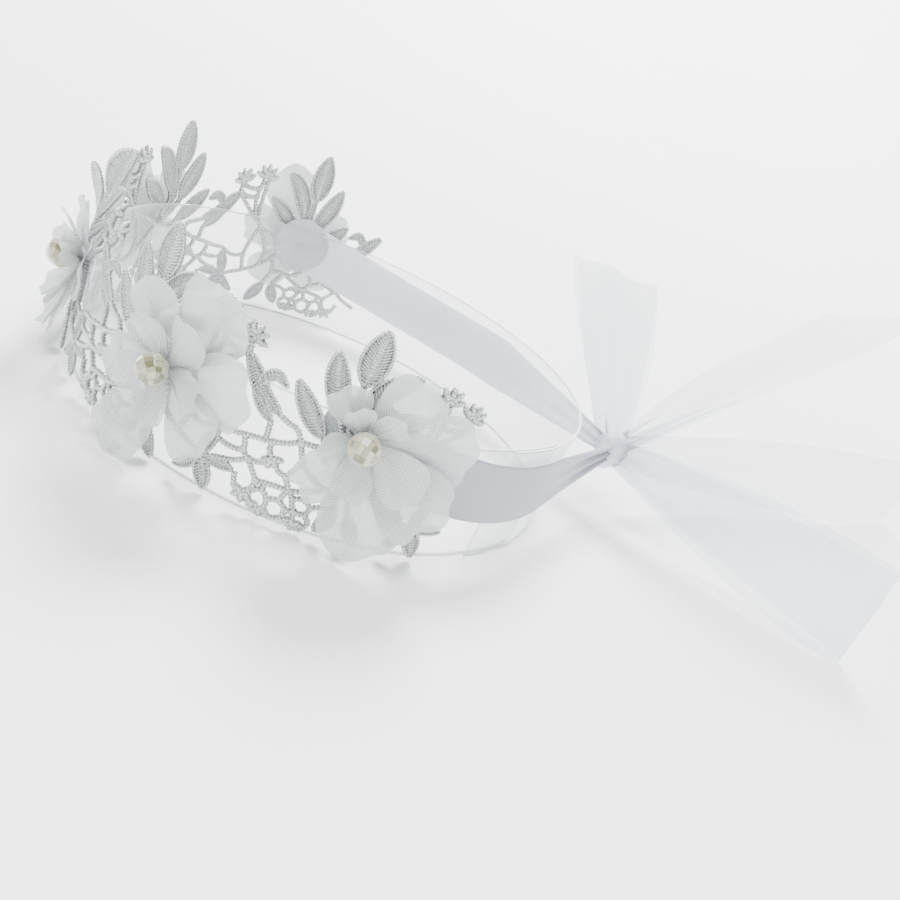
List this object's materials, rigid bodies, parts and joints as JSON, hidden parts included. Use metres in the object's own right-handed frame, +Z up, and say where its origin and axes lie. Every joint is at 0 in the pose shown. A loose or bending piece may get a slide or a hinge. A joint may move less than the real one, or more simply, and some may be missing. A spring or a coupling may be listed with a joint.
{
  "type": "flower crown",
  "caption": "Child's flower crown: guipure lace with organza flowers and pearls on satin ribbon tied in an organza bow, round a clear display band.",
  "frame": {"origin": "centre of the head opening, level with the surface the band stands on", "axes": "+Z up, -Y towards the front of the crown, +Y towards the bow at the back, +X to the viewer's right when facing the front"},
  "size_m": [0.1963, 0.4228, 0.1138],
  "materials": {
    "clear_plastic": "clear, glossy",
    "lace": "silver-white lustrous embroidery thread",
    "organza": "sheer crisp organza",
    "organza_ribbon": "sheer organza ribbon",
    "satin": "smooth satin",
    "felt": "matt felt",
    "pearl": "faceted pearl coating",
    "thread": "matt sewing thread"
  },
  "bodies": {
    "band": {"clear_band": "clear_plastic"},
    "crown": {"lace_repeat_1": "lace", "lace_repeat_2": "lace", "lace_repeat_3": "lace", "lace_repeat_4": "lace", "lace_repeat_5": "lace", "outer_petals_1": "organza", "outer_petals_2": "organza", "outer_petals_3": "organza", "outer_petals_4": "organza", "outer_petals_5": "organza", "inner_petals_1": "organza", "inner_petals_2": "organza", "inner_petals_3": "organza", "inner_petals_4": "organza", "inner_petals_5": "organza", "pearl_1": "pearl", "pearl_2": "pearl", "pearl_3": "pearl", "pearl_4": "pearl", "pearl_5": "pearl", "thread_knot_2": "thread", "thread_knot_3": "thread", "thread_knot_4": "thread", "felt_disc_left": "felt", "felt_disc_right": "felt", "satin_ribbon_left": "satin", "satin_ribbon_right": "satin", "bow_knot": "organza_ribbon"},
    "loop_left": {"bow_loop_left": "organza_ribbon"},
    "loop_right": {"bow_loop_right": "organza_ribbon"},
    "tail_upper": {"bow_tail_upper": "organza_ribbon"},
    "tail_lower": {"bow_tail_lower": "organza_ribbon"}
  },
  "joints": [
    {"name": "crown_lift", "type": "slide", "parent": "band", "child": "crown", "axis": [0, 0, 1], "range_m": [0, 0.045]},
    {"name": "loop_left_flex", "type": "hinge", "parent": "crown", "child": "loop_left", "pos_m": [0.008, 0.1063, 0.023], "axis": [-0.0523, -0.9986, 0], "range_deg": [-15, 10], "stiffness_Nm_per_rad": 0.1},
    {"name": "loop_right_swing", "type": "hinge", "parent": "crown", "child": "loop_right", "pos_m": [0.008, 0.1063, 0.023], "axis": [0, 0, 1], "range_deg": [-20, 20]},
    {"name": "tail_upper_flex", "type": "hinge", "parent": "crown", "child": "tail_upper", "pos_m": [0.008, 0.1063, 0.023], "axis": [-0.9945, 0.1045, 0], "range_deg": [-15, 15], "stiffness_Nm_per_rad": 0.1},
    {"name": "tail_lower_swing", "type": "hinge", "parent": "crown", "child": "tail_lower", "pos_m": [0.008, 0.1063, 0.023], "axis": [0, 0, 1], "range_deg": [-15, 15]}
  ]
}
